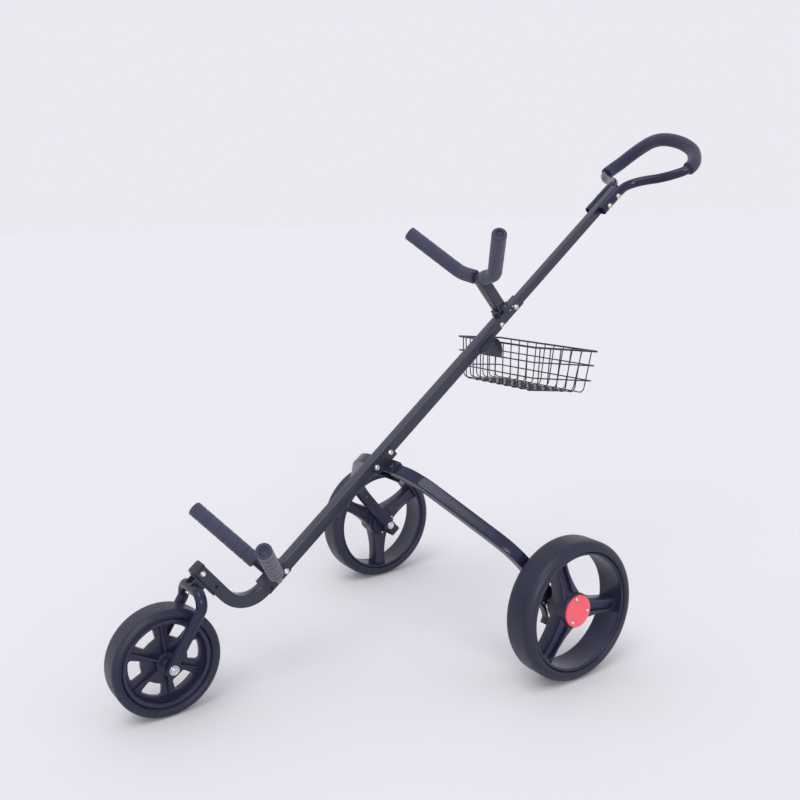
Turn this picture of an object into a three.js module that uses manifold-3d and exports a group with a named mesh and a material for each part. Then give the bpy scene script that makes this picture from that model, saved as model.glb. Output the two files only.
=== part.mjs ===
// Golf push trolley: a three-wheeled folding frame with two bag cradles, a wire basket and a loop handle.
// Millimetres, +Z up, left is +X, the front wheel points to -Y. The ground is Z = 0.
import * as THREE from 'three';
import { mergeVertices } from 'three/addons/utils/BufferGeometryUtils.js';
import { ConvexGeometry } from 'three/addons/geometries/ConvexGeometry.js';
import Module from 'manifold-3d';

const wasm = await Module();
wasm.setup();

// ---------- driving dimensions ----------
const GAP = 0.3;                 // clearance between pieces that touch
const AXLE_Y = 77.1;               // rear axle, behind the middle of the footprint
const WHEELBASE = 718.9;
const TRACK_HALF = 357;
const REAR_R = 145;
const REAR_WIDTH = 70.6;
const FRONT_R = 107.4;
const FRONT_WIDTH = 60;
const SPINE_TILT = THREE.MathUtils.degToRad(38.1);
const ARM_DROP = 350.5;          // spine axis to rear axle, square to the spine

const TUBE = 25.4;               // square frame tube
const HALF = TUBE / 2;
const WALL = 1.5;
const TUBE_CORNER = 2.5;
const SPINE_TOP = 500;           // end of the hinge channel
const SPINE_FULL = 417;          // where the bottom wall of the main tube stops
const BEND_Y = -365.3;           // start of the front bend
const BEND_R = 60;
const FRONT_Y = BEND_Y - BEND_R; // upright front section
const FRONT_TOP = 141;
const CAP_TOP = 149.5;

const MAST = 20;                 // square tube of the upper mast
const MAST_TOP = 900;
const PIVOT = { y: 421, z: -4 };
const CLAMP = { y: 477, z: -0.6 };
const BOLT_R = 3;

const FORK_X = 45;
const FORK_R = 11;
const FORK_KNEE = { y: 66, z: 100 };
const FORK_TOP = { y: 67, z: 128 };      // axis of the crown, from the front axle
const CROWN = { y: -457.2, z: 122.9 };   // the same axis, along the main tube

const BRACKET_BOLT = 22;         // arm bracket bolts either side of the axle plane
const ARM_PIN_X = 28;
const ARM_Z = -35;
const ARM_X = 302.7;
const ARM_END = -375;
const ARM_KNEE_Z = -200.1;
const ARM_SHOULDER_X = 108;
const PLATE = 2.5;

const CRADLE_TUBE_R = 9.5;
const FOAM_R = 16;
const FOAM_BORE_R = 10.4;
const UPPER_CRADLE_Y = 447;
const LOWER_CRADLE_Y = -332;
const STEM_TOP = 101;
const STEM_BOTTOM = 18;
const STEM_PIN = { y: 452, z: 24 };
const STEM_SWING = 1.4;          // how far the foot of the post swings forward as it folds back

const HANDLE_R = 11;
const HANDLE_FOAM_R = 16;
const HANDLE_BOLTS = [833, 869];

const BASKET_WALL = 3;
const BASKET_DEPTH = 101.6;
const BASKET_TILT = THREE.MathUtils.degToRad(-7.75);

const HUB_CAP_R = 33.3;
const REAR_HUB_R = 36;
const REAR_HUB_IN = -30;         // hub faces, from the middle plane of the wheel
const REAR_HUB_OUT = 21.7;
const AXLE_R = 5;
const REAR_SPOKE_TURN = { left: -10, right: 32 };
const FRONT_SPOKE_TURN = 33;
const WHEEL_SIDES = 36;          // facets round a tyre and round its rim, the same so that they nest

// ---------- materials ----------
const material = (color, roughness, metalness) =>
  new THREE.MeshStandardMaterial({ color, roughness, metalness });
const blackPaint = material(0x14151b, 0.32, 0.35);
const zinc = material(0xc9ccd2, 0.28, 0.95);
const foam = material(0x3a3b44, 0.92, 0);
const plastic = material(0x17181d, 0.5, 0);
const tyreRubber = material(0x22232b, 0.72, 0);
const capRed = material(0xee5a68, 0.42, 0);
const wire = material(0x15161a, 0.45, 0.3);
const blackSteel = material(0x1b1c21, 0.4, 0.5);

// ---------- shape helpers ----------
class StationPath extends THREE.Curve {
  // A path that passes straight through its stations, so an extrusion puts one ring at each of them.
  constructor(stations) {
    super();
    this.stations = stations;
  }

  getPoint(t) {
    const span = t * (this.stations.length - 1);
    const i = Math.min(Math.floor(span + 1e-9), this.stations.length - 2);
    return this.stations[i].clone().lerp(this.stations[i + 1], span - i);
  }

  getPointAt(u) {
    return this.getPoint(u);
  }

  getTangentAt(u) {
    const last = this.stations.length - 1;
    const i = Math.round(u * last);
    const here = this.stations[i];
    const back = here.clone().sub(this.stations[Math.max(i - 1, 0)]).normalize();
    const ahead = this.stations[Math.min(i + 1, last)].clone().sub(here).normalize();
    return back.add(ahead).normalize();
  }
}

function roundedStations(points, radii, stepDeg = 15) {
  // Straight runs between points, with an arc of the given radius at each inner point.
  const stations = [points[0].clone()];
  for (let i = 1; i < points.length - 1; i++) {
    const back = points[i - 1].clone().sub(points[i]).normalize();
    const ahead = points[i + 1].clone().sub(points[i]).normalize();
    const turn = Math.PI - back.angleTo(ahead);
    const radius = radii[i - 1];
    const setback = radius * Math.tan(turn / 2);
    const centre = back.clone().add(ahead).normalize()
      .multiplyScalar(radius / Math.cos(turn / 2)).add(points[i]);
    const first = points[i].clone().addScaledVector(back, setback).sub(centre);
    const axis = ahead.clone().cross(back).normalize();
    const count = Math.max(2, Math.ceil(THREE.MathUtils.radToDeg(turn) / stepDeg));
    for (let k = 0; k <= count; k++) {
      stations.push(first.clone().applyAxisAngle(axis, turn * k / count).add(centre));
    }
  }
  stations.push(points[points.length - 1].clone());
  return stations;
}

const v3 = (x, y, z) => new THREE.Vector3(x, y, z);

function roundedRect(width, height, radius) {
  const shape = new THREE.Shape();
  const w = width / 2;
  const h = height / 2;
  shape.moveTo(w - radius, -h);
  shape.absarc(w - radius, -h + radius, radius, -Math.PI / 2, 0, false);
  shape.absarc(w - radius, h - radius, radius, 0, Math.PI / 2, false);
  shape.absarc(-w + radius, h - radius, radius, Math.PI / 2, Math.PI, false);
  shape.absarc(-w + radius, -h + radius, radius, Math.PI, Math.PI * 1.5, false);
  return shape;
}

function disc(radius, Kind = THREE.Shape) {
  const shape = new Kind();
  shape.absarc(0, 0, radius, 0, Math.PI * 2, false);
  return shape;
}

function squareSection(size, wall, radius = TUBE_CORNER) {
  const shape = roundedRect(size, size, radius);
  const inner = size / 2 - wall;
  shape.holes.push(new THREE.Path([[inner, -inner], [inner, inner], [-inner, inner], [-inner, -inner]]
    .map(([x, y]) => new THREE.Vector2(x, y))));
  return shape;
}

function ringSection(outer, inner) {
  const shape = disc(outer);
  shape.holes.push(disc(inner, THREE.Path));
  return shape;
}

function sweep(shape, stations, curveSegments = 2) {
  const extrudePath = new StationPath(stations);
  return new THREE.ExtrudeGeometry(shape, { steps: stations.length - 1, extrudePath, curveSegments });
}

function plate(shape, thickness, curveSegments = 6) {
  // A flat shape in XY, thickness along +Z from 0.
  return new THREE.ExtrudeGeometry(shape, { depth: thickness, bevelEnabled: false, curveSegments });
}

function box(x0, x1, y0, y1, z0, z1) {
  return new THREE.BoxGeometry(x1 - x0, y1 - y0, z1 - z0)
    .translate((x0 + x1) / 2, (y0 + y1) / 2, (z0 + z1) / 2);
}

function polygon(points) {
  return new THREE.Shape(points.map(([x, y]) => new THREE.Vector2(x, y)));
}

function turned(profile, segments = 16) {
  // A lathe whose axis is X: profile holds [radius, x] pairs, going along the outside.
  const points = profile.map(([radius, x]) => new THREE.Vector2(radius, x));
  return new THREE.LatheGeometry(points, segments).rotateZ(-Math.PI / 2);
}

function rod(radius, x0, x1, segments = 12) {
  return turned([[0, x0], [radius, x0], [radius, x1], [0, x1]], segments);
}

function ring(inner, outer, x0, x1, segments = 20) {
  return turned([[inner, x0], [outer, x0], [outer, x1], [inner, x1], [inner, x0]], segments);
}

const alongY = (geometry) => geometry.rotateZ(Math.PI / 2);
const alongZ = (geometry) => geometry.rotateY(-Math.PI / 2);

function toSolid(geometry) {
  const bare = geometry.clone();
  bare.deleteAttribute('normal');
  bare.deleteAttribute('uv');
  const merged = mergeVertices(bare, 1e-3);
  const index = merged.index.array;
  const triVerts = [];
  for (let i = 0; i < index.length; i += 3) {
    const [a, b, c] = index.slice(i, i + 3);
    if (a !== b && b !== c && c !== a) triVerts.push(a, b, c);
  }
  return new wasm.Manifold(new wasm.Mesh({
    numProp: 3,
    vertProperties: Float32Array.from(merged.attributes.position.array),
    triVerts: Uint32Array.from(triVerts),
  }));
}

function toGeometry(solid) {
  const mesh = solid.getMesh();
  const geometry = new THREE.BufferGeometry();
  geometry.setAttribute('position', new THREE.BufferAttribute(Float32Array.from(mesh.vertProperties), 3));
  geometry.setIndex(new THREE.BufferAttribute(Uint32Array.from(mesh.triVerts), 1));
  geometry.computeVertexNormals();
  return geometry;
}

const join = (first, ...rest) => toGeometry(rest.reduce((all, g) => all.add(toSolid(g)), toSolid(first)));
const cut = (first, ...tools) => toGeometry(tools.reduce((all, g) => all.subtract(toSolid(g)), toSolid(first)));
const common = (first, second) => toGeometry(toSolid(first).intersect(toSolid(second)));
const mirrored = (points) => points.map((p) => v3(-p.x, p.y, p.z)).reverse();

function place(group, name, geometry, mat) {
  const mesh = new THREE.Mesh(geometry, mat);
  mesh.name = name;
  group.add(mesh);
  return mesh;
}

function crossBolt(halfGrip, radius, headR, headLength) {
  // A bolt through a tube along X: domed head on the left, nut on the right.
  const x = halfGrip + GAP;
  return turned([
    [0, -x - headLength * 0.8], [headR * 0.95, -x - headLength * 0.8], [headR * 0.95, -x], [radius, -x],
    [radius, x], [headR, x], [headR, x + headLength * 0.55], [headR * 0.6, x + headLength], [0, x + headLength],
  ], 10);
}

const HOLE_SIDES = 8;
// Its flats, not its corners, stand the gap away from the bolt.
const boltHole = (radius, halfLength) => rod(
  (radius + GAP) / Math.cos(Math.PI / HOLE_SIDES), -halfLength, halfLength, HOLE_SIDES);

// ---------- groups ----------
const trolley = new THREE.Group();
const spine = new THREE.Group();         // y runs up the main tube, z is square to it, x is across
spine.position.set(0, AXLE_Y - ARM_DROP * Math.sin(SPINE_TILT), REAR_R + ARM_DROP * Math.cos(SPINE_TILT));
spine.rotation.x = SPINE_TILT;
trolley.add(spine);

// ---------- main tube ----------
function makeMainTube() {
  const path = roundedStations(
    [v3(0, SPINE_TOP, 0), v3(0, FRONT_Y, 0), v3(0, FRONT_Y, FRONT_TOP)], [BEND_R], 15);
  const tube = sweep(squareSection(TUBE, WALL), path);
  const hole = (y, z) => boltHole(BOLT_R, HALF + 1).translate(0, y, z);
  const holes = [
    hole(PIVOT.y, PIVOT.z), hole(CLAMP.y, CLAMP.z), hole(BRACKET_BOLT, -3.5), hole(-BRACKET_BOLT, -3.5),
    hole(-309, -4), hole(-353, -4), hole(FRONT_Y, 133), hole(FRONT_Y, 91),
  ];
  const openBottom = box(-HALF - 1, HALF + 1, SPINE_FULL, SPINE_TOP + 1, -HALF - 1, -HALF + 3);
  place(spine, 'main_tube', cut(tube, openBottom, ...holes), blackPaint);
}

function makeFrontEnd() {
  const cap = plate(roundedRect(27.5, 27.5, 3.5), CAP_TOP - FRONT_TOP - GAP, 3)
    .translate(0, FRONT_Y, FRONT_TOP + GAP);
  place(spine, 'front_end_cap', cap, plastic);
  place(spine, 'front_bolt', crossBolt(HALF, BOLT_R, 5.5, 3.5).translate(0, FRONT_Y, 133), zinc);
  // The crown of the fork lies in two cheeks of the plate, and a screw holds it from the front.
  const face = FRONT_Y - HALF - GAP;
  const cheek = (x) => box(x, x + PLATE, CROWN.y, face - 1, CROWN.z - 14, CROWN.z + 14);
  const lug = join(box(-HALF, HALF, face - 3, face, 82, FRONT_TOP), cheek(-HALF), cheek(HALF - PLATE));
  const seat = rod(FORK_R + GAP, -20, 20, 24).translate(0, CROWN.y, CROWN.z);
  const screwHole = alongY(rod(BOLT_R + GAP, -20, 20, 12)).translate(0, CROWN.y, CROWN.z);
  place(spine, 'fork_plate', cut(lug, seat, screwHole), blackSteel);
  const front = -FORK_R - GAP;
  const back = face - CROWN.y - 3 - GAP;
  const screw = alongY(turned([[0, front - 3.5], [5, front - 3.5], [5, front], [BOLT_R, front], [BOLT_R, back],
    [0, back]], 12));
  place(spine, 'fork_screw', screw.translate(0, CROWN.y, CROWN.z), zinc);
}

// ---------- fork and front wheel ----------
const frontWheel = new THREE.Group();
frontWheel.position.set(0, AXLE_Y - WHEELBASE, FRONT_R);
trolley.add(frontWheel);

const FRONT_HUB = 22;

function makeFork() {
  // Measured from the axle: up and back along each leg, then over the tyre.
  const knee = v3(FORK_X, FORK_KNEE.y, FORK_KNEE.z);
  const leg = [v3(FORK_X, -8, -12), knee, v3(FORK_X - 1, FORK_TOP.y, FORK_TOP.z)];
  const points = [...leg, ...mirrored(leg)];
  const stations = roundedStations(points, [24, 22, 22, 24], 15);
  const tube = sweep(ringSection(FORK_R, FORK_R - WALL), stations, 4);
  const crownHole = alongZ(rod(BOLT_R + GAP, -20, 20, 12)).rotateX(Math.PI / 2 + SPINE_TILT)
    .translate(0, FORK_TOP.y, FORK_TOP.z);
  place(frontWheel, 'front_fork', cut(tube, boltHole(AXLE_R, FORK_X + 20), crownHole), blackPaint);
  const end = FORK_X + FORK_R + GAP;
  const axle = turned([[0, -end - 6], [8, -end - 6], [8, -end], [AXLE_R, -end],
    [AXLE_R, end], [8, end], [8, end + 4], [5, end + 6], [0, end + 6]], 12);
  place(frontWheel, 'front_axle', axle, zinc);
  const inner = FORK_X - FORK_R - GAP;
  for (const [name, sign] of [['front_spacer_left', 1], ['front_spacer_right', -1]]) {
    const spacer = ring(AXLE_R + GAP, 8.5, FRONT_HUB + GAP, inner, 16);
    place(frontWheel, name, sign > 0 ? spacer : spacer.rotateY(Math.PI), plastic);
  }
}

function closedProfile(right) {
  // The right half of a ring's section, from its bore outwards, made whole with its mirror image.
  const left = right.map(([radius, x]) => [radius, -x]);
  return [...left, ...right.slice().reverse(), left[0]];
}

function tyre(radius, width, seat, seatWidth, shoulder) {
  const w = width / 2;
  const right = [[seat, seatWidth / 2], [seat + 2, w - 2], [seat + 5, w]];
  for (const degrees of [0, 45, 90]) {
    const angle = THREE.MathUtils.degToRad(degrees);
    right.push([radius - shoulder * (1 - Math.sin(angle)), w - shoulder * (1 - Math.cos(angle))]);
  }
  return turned(closedProfile(right), WHEEL_SIDES);
}

const facingX = (geometry) => geometry.applyMatrix4(
  new THREE.Matrix4().makeBasis(v3(0, 1, 0), v3(0, 0, 1), v3(1, 0, 0)));

// ---------- front wheel ----------
const FRONT_SEAT = 88;

function makeFrontWheel() {
  const web = disc(FRONT_SEAT - 5);
  for (let i = 0; i < 6; i++) {
    const middle = THREE.MathUtils.degToRad(FRONT_SPOKE_TURN + 30 + 60 * i);
    const window = new THREE.Path();
    window.absarc(0, 0, 76, middle - 0.35, middle + 0.35, false);
    window.absarc(0, 0, 44, middle + 0.22, middle - 0.22, true);
    window.closePath();
    web.holes.push(window);
  }
  const disk = facingX(plate(web, 10, 4).translate(0, 0, -5));
  const barrel = ring(FRONT_SEAT - 8, FRONT_SEAT, -23, 23, WHEEL_SIDES);
  const hub = rod(18, -FRONT_HUB, FRONT_HUB, 20);
  const bore = rod(AXLE_R + 3 + GAP, -FRONT_HUB - 1, FRONT_HUB + 1, 16);
  place(frontWheel, 'front_rim', cut(join(barrel, disk, hub), bore), plastic);
  place(frontWheel, 'front_tyre', tyre(FRONT_R, FRONT_WIDTH, FRONT_SEAT + GAP, 46, 11), tyreRubber);
  place(frontWheel, 'front_bush', ring(AXLE_R + GAP, AXLE_R + 3, -FRONT_HUB, FRONT_HUB, 16), zinc);
}

// ---------- rear wheels ----------
const REAR_SEAT = 122.5;
const REAR_WALL = 5;              // of the rim's barrel
const BUSH_R = 8.5;

function rearSpoke(turn) {
  const shape = new THREE.Shape();
  const reach = REAR_SEAT - 3;
  const spread = 0.18;             // half of the spoke's angle at the rim
  shape.moveTo(24, -26);
  shape.quadraticCurveTo(70, -9, reach * Math.cos(spread), -reach * Math.sin(spread));
  shape.absarc(0, 0, reach, -spread, spread, false);
  shape.quadraticCurveTo(70, 9, 24, 26);
  shape.closePath();
  return facingX(plate(shape, 34, 4).translate(0, 0, -18)).rotateX(THREE.MathUtils.degToRad(turn));
}

function makeRearWheel(side) {
  const sign = side === 'left' ? 1 : -1;
  const wheel = new THREE.Group();
  wheel.position.set(sign * TRACK_HALF, AXLE_Y, REAR_R);
  wheel.rotation.z = sign > 0 ? 0 : Math.PI;
  trolley.add(wheel);
  const first = REAR_SPOKE_TURN[side];
  const spokes = [0, 120, 240].map((step) => rearSpoke(first + step));
  const barrel = ring(REAR_SEAT - REAR_WALL, REAR_SEAT, -31, 31, WHEEL_SIDES);
  const hub = rod(REAR_HUB_R, REAR_HUB_IN, REAR_HUB_OUT, 24);
  const bore = rod(BUSH_R + GAP, REAR_HUB_IN - 1, REAR_HUB_OUT - 4, 16);
  const recess = rod(14, REAR_HUB_OUT - 8, REAR_HUB_OUT + 1, 16);
  place(wheel, `rear_rim_${side}`, cut(join(barrel, hub, ...spokes), bore, recess), plastic);
  place(wheel, `rear_tyre_${side}`, tyre(REAR_R, REAR_WIDTH, REAR_SEAT + GAP, 62, 16.7), tyreRubber);
  const bushStart = ARM_X + HALF - TRACK_HALF + GAP;
  const bush = ring(AXLE_R + GAP, BUSH_R, bushStart, REAR_HUB_OUT - 8, 16);
  place(wheel, `rear_bush_${side}`, bush, zinc);
  const capFace = REAR_HUB_OUT + GAP;
  const cap = turned([[0, capFace], [HUB_CAP_R, capFace], [HUB_CAP_R, capFace + 2],
    [HUB_CAP_R - 1, capFace + 3], [0, capFace + 3]], 32);
  place(wheel, `hub_cap_${side}`, cap, capRed);
}

// ---------- rear arms ----------
function armPath() {
  return roundedStations(
    [v3(2, 0, ARM_Z), v3(ARM_SHOULDER_X, 0, ARM_Z), v3(ARM_X, 0, ARM_KNEE_Z), v3(ARM_X, 0, ARM_END)],
    [125, 105], 12);
}

function makeArm(side) {
  const sign = side === 'left' ? 1 : -1;
  const group = new THREE.Group();
  group.rotation.z = sign > 0 ? 0 : Math.PI;
  spine.add(group);
  const tube = sweep(squareSection(TUBE, WALL), armPath());
  const reach = box(ARM_PIN_X, ARM_X + 40, -20, 20, ARM_END - 10, 0);
  const round = alongZ(rod(HALF, ARM_Z - 20, ARM_Z + 20, 12)).translate(ARM_PIN_X, 0, 0);
  const pinHole = alongZ(rod(4 + GAP, ARM_Z - 20, ARM_Z + 20, 12)).translate(ARM_PIN_X, 0, 0);
  const axleHole = rod(AXLE_R + GAP, ARM_X - 20, ARM_X + 20, 12).translate(0, 0, -ARM_DROP);
  const arm = cut(common(tube, join(reach, round)), pinHole, axleHole);
  place(group, `arm_${side}`, arm, blackPaint);
  const top = ARM_Z + HALF + 2 * GAP + PLATE;
  const bottom = ARM_Z - HALF - 2 * GAP - PLATE;
  const pin = alongZ(turned([[0, bottom - 3], [7, bottom - 3], [7, bottom], [4, bottom],
    [4, top], [7, top], [5.5, top + 2.5], [0, top + 2.5]], 12)).translate(ARM_PIN_X, 0, 0);
  place(group, `arm_pin_${side}`, pin, zinc);
  const inner = ARM_X - HALF - GAP;
  const outer = TRACK_HALF + REAR_HUB_OUT - 8 + GAP;
  const axle = turned([[0, inner - 5], [7, inner - 5], [8, inner - 3], [8, inner], [AXLE_R, inner],
    [AXLE_R, outer], [9, outer], [9, outer + 5], [0, outer + 5]], 12).translate(0, 0, -ARM_DROP);
  place(group, `axle_${side}`, axle, zinc);
}

function makeArmBracket() {
  const side = HALF + GAP;
  const floorTop = ARM_Z + HALF + GAP + PLATE + GAP + PLATE;
  const outline = polygon([[-side - PLATE, 6], [-side - PLATE, floorTop - PLATE],
    [side + PLATE, floorTop - PLATE], [side + PLATE, 6], [side, 6], [side, floorTop],
    [-side, floorTop], [-side, 6]]);
  const channel = plate(outline, 64).rotateX(Math.PI / 2).translate(0, 32, 0);
  const boltHoles = [BRACKET_BOLT, -BRACKET_BOLT].map((y) => boltHole(BOLT_R, 30).translate(0, y, -3.5));
  place(spine, 'arm_bracket', cut(channel, ...boltHoles), blackSteel);
  const grip = side + PLATE;
  [['upper', BRACKET_BOLT], ['lower', -BRACKET_BOLT]].forEach(([where, y]) => {
    place(spine, `arm_bracket_bolt_${where}`, crossBolt(grip, BOLT_R, 6, 3.5).translate(0, y, -3.5), zinc);
  });
  const top = ARM_Z + HALF + GAP + PLATE;
  const bottom = ARM_Z - HALF - GAP - PLATE;
  const back = HALF + 2 * GAP;
  const section = polygon([[-16, top], [-16, top - PLATE], [back, top - PLATE], [back, bottom + PLATE],
    [-16, bottom + PLATE], [-16, bottom], [back + PLATE, bottom], [back + PLATE, top]]);
  const housing = facingX(plate(section, 90).translate(0, 0, -45));
  const hole = alongZ(rod(4 + GAP, bottom - 1, top + 1, 12));
  const holes = [1, -1].map((s) => hole.clone().translate(s * ARM_PIN_X, 0, 0));
  place(spine, 'arm_housing', cut(housing, ...holes), blackSteel);
}

// ---------- cradles ----------
function plugAt(tip, direction) {
  const cap = plate(disc(CRADLE_TUBE_R), 4, 8);
  const turn = new THREE.Quaternion().setFromUnitVectors(v3(0, 0, 1), direction);
  return cap.applyQuaternion(turn).translate(tip.x, tip.y, tip.z);
}

function sleeveAndPlug(group, names, stations, tubeEnd) {
  const direction = stations[stations.length - 1].clone().sub(stations[stations.length - 2]).normalize();
  place(group, names.foam, sweep(ringSection(FOAM_R, FOAM_BORE_R), stations, 5), foam);
  const tip = tubeEnd.clone().addScaledVector(direction, GAP);
  place(group, names.plug, plugAt(tip, direction), plastic);
}

const PLUG_INSET = 4;

function shortened(points, length) {
  // The same path, its last point drawn back along its last run.
  const last = points[points.length - 1];
  const direction = last.clone().sub(points[points.length - 2]).normalize();
  return [...points.slice(0, -1), last.clone().addScaledVector(direction, -length)];
}

function makeLowerCradle() {
  const y = LOWER_CRADLE_Y;
  const top = HALF + GAP;
  const inner = HALF + GAP;
  const outline = polygon([[-inner, -12], [-inner, top], [inner, top], [inner, -12],
    [inner + PLATE, -12], [inner + PLATE, top + PLATE], [-inner - PLATE, top + PLATE], [-inner - PLATE, -12]]);
  const saddle = plate(outline, 64).rotateX(Math.PI / 2).translate(0, y + 32, 0);
  const holes = [-309, -353].map((at) => boltHole(BOLT_R, 30).translate(0, at, -4));
  place(spine, 'lower_cradle_bracket', cut(saddle, ...holes), blackSteel);
  place(spine, 'lower_cradle_bolt', crossBolt(inner + PLATE, BOLT_R, 6, 3.5).translate(0, -309, -4), zinc);
  // Each bar leans out from the side of the bracket, whose own thickness is cut off its foot.
  const keepOut = box(-inner - PLATE - GAP, inner + PLATE + GAP, y - 60, y + 60, -60, 60);
  for (const [side, sign] of [['left', 1], ['right', -1]]) {
    const tip = v3(sign * 162.5, y, 157.3);
    const start = v3(sign * 44.5, y, 28.9);
    const root = start.clone().lerp(tip, -0.31);
    const [, tubeEnd] = shortened([root, tip], PLUG_INSET + GAP);
    const bar = sweep(ringSection(CRADLE_TUBE_R, CRADLE_TUBE_R - WALL), [root, tubeEnd], 5);
    place(spine, `lower_cradle_bar_${side}`, cut(bar, keepOut), blackPaint);
    sleeveAndPlug(spine, { foam: `lower_foam_${side}`, plug: `lower_plug_${side}` }, [start, tip], tubeEnd);
  }
}

function makeUpperCradle() {
  const y = UPPER_CRADLE_Y;
  const back = y + HALF;
  const front = y - HALF;
  const section = roundedRect(TUBE, TUBE, TUBE_CORNER);
  const stem = plate(section, STEM_TOP - STEM_BOTTOM, 2).translate(0, y, STEM_BOTTOM);
  const inside = box(-HALF + WALL, HALF - WALL, front + WALL, back - WALL, STEM_BOTTOM - 1, STEM_TOP + 1);
  const heel = box(-20, 20, -4, 4, -4, 4).rotateX(Math.PI / 4).translate(0, back, STEM_BOTTOM);
  const pinHole = boltHole(BOLT_R, 30).translate(0, STEM_PIN.y, STEM_PIN.z);
  place(spine, 'cradle_stem', cut(stem, inside, heel, pinHole), blackPaint);

  const floor = HALF + GAP;
  const ear = HALF + GAP;
  const foot = join(
    box(-ear - PLATE, ear + PLATE, front - 6, back + 8, floor, floor + PLATE),
    box(ear, ear + PLATE, STEM_PIN.y - 10, STEM_PIN.y + 10, floor, STEM_PIN.z + 7),
    box(-ear - PLATE, -ear, STEM_PIN.y - 10, STEM_PIN.y + 10, floor, STEM_PIN.z + 7),
    box(-HALF, HALF, front - 4.5, front - STEM_SWING, floor, STEM_BOTTOM + 9),
  );
  place(spine, 'stem_foot', cut(foot, pinHole.clone()), blackSteel);
  place(spine, 'stem_pin', crossBolt(ear + PLATE, BOLT_R, 5, 3).translate(0, STEM_PIN.y, STEM_PIN.z), zinc);

  const half = [v3(0, y, 111.4), v3(59, y, 126), v3(159.5, y, 241.5)];
  const right = shortened(half, PLUG_INSET + GAP);
  const barPoints = [...mirrored(right), ...right.slice(1)];
  const barPath = roundedStations(barPoints, [45, 40, 45], 12);
  const bar = sweep(ringSection(CRADLE_TUBE_R, CRADLE_TUBE_R - WALL), barPath, 5);
  place(spine, 'upper_cradle_tube', bar, blackPaint);
  for (const [side, sign] of [['left', 1], ['right', -1]]) {
    const points = [v3(sign * 14.7, y, 115.04), ...half.slice(1).map((p) => v3(sign * p.x, y, p.z))];
    const names = { foam: `upper_foam_${side}`, plug: `upper_plug_${side}` };
    const tubeEnd = v3(sign * right[2].x, y, right[2].z);
    sleeveAndPlug(spine, names, roundedStations(points, [45], 12), tubeEnd);
  }
}

// ---------- upper mast and handle ----------
function makeMast() {
  const back = PIVOT.y - 9;
  const half = MAST / 2;
  const tube = sweep(squareSection(MAST, WALL, 2), [v3(0, back, 0), v3(0, MAST_TOP, 0)]);
  const heel = polygon([[back - 1, PIVOT.z + 9], [back, PIVOT.z + 9], [PIVOT.y - 1, half], [PIVOT.y - 1, half + 1],
    [back - 1, half + 1]]);
  const heelCut = facingX(plate(heel, 40).translate(0, 0, -20));
  // The bolt leaves through this slot on an arc about the pivot, which bends towards it.
  const arcBend = 2.6;
  const slot = box(-20, 20, CLAMP.y - BOLT_R - GAP - arcBend, CLAMP.y + BOLT_R + GAP, CLAMP.z, half + 1);
  const holes = [boltHole(BOLT_R, 20).translate(0, PIVOT.y, PIVOT.z),
    boltHole(BOLT_R, 20).translate(0, CLAMP.y, CLAMP.z),
    ...HANDLE_BOLTS.map((y) => boltHole(BOLT_R, 20).translate(0, y, 1.5))];
  place(spine, 'mast_tube', cut(tube, heelCut, slot, ...holes), blackPaint);
  const cap = plate(roundedRect(MAST, MAST, 2), 3, 3).rotateX(-Math.PI / 2).translate(0, MAST_TOP + GAP, 0);
  place(spine, 'mast_cap', cap, plastic);
  place(spine, 'pivot_bolt', crossBolt(HALF, BOLT_R, 6, 3.5).translate(0, PIVOT.y, PIVOT.z), zinc);
  place(spine, 'clamp_bolt', crossBolt(HALF, BOLT_R, 6.5, 4).translate(0, CLAMP.y, CLAMP.z), zinc);
}

function handleStations() {
  const legX = MAST / 2 + GAP + HANDLE_R;
  const leg = [v3(legX, 815, 1.5), v3(legX, 885, 1.5)];
  const guide = [
    leg[1], v3(24, 908, -0.5), v3(33, 928, -6.5), v3(50, 945, -13), v3(78, 962, -21), v3(108, 980, -26),
    v3(129, 1003, -31), v3(129, 1030, -35), v3(117, 1055, -35), v3(98, 1078, -30), v3(68, 1093, -20),
    v3(34, 1098, -9), v3(0, 1098.4, -4),
  ];
  const loop = [...guide, ...mirrored(guide).slice(1)];
  const curve = new THREE.CatmullRomCurve3(loop, false, 'centripetal');
  const bend = curve.getSpacedPoints(30);
  return [leg[0], ...bend, v3(-legX, 815, 1.5)];
}

function makeHandle() {
  const stations = handleStations();
  const holes = HANDLE_BOLTS.map((y) => boltHole(BOLT_R, 50).translate(0, y, 1.5));
  const tube = sweep(ringSection(HANDLE_R, HANDLE_R - WALL), stations, 4);
  place(spine, 'handle_loop', cut(tube, ...holes), blackPaint);
  const gripStart = stations.findIndex((p) => p.x > 120 && p.y > 1003);
  const covered = stations.slice(gripStart, stations.length - gripStart);
  const grip = sweep(ringSection(HANDLE_FOAM_R, HANDLE_R + 1.5), covered, 5);
  place(spine, 'handle_grip', grip, foam);
  const boltGrip = MAST / 2 + GAP + 2 * HANDLE_R;
  HANDLE_BOLTS.forEach((y, i) => {
    place(spine, `handle_bolt_${i + 1}`, crossBolt(boltGrip, BOLT_R, 6.5, 4).translate(0, y, 1.5), zinc);
  });
}

// ---------- basket ----------
const basketFrame = new THREE.Group();   // y runs back along the rim, z is up out of the basket
basketFrame.position.set(0, AXLE_Y + 107.7, 640.9);
basketFrame.rotation.x = BASKET_TILT;
trolley.add(basketFrame);

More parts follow.
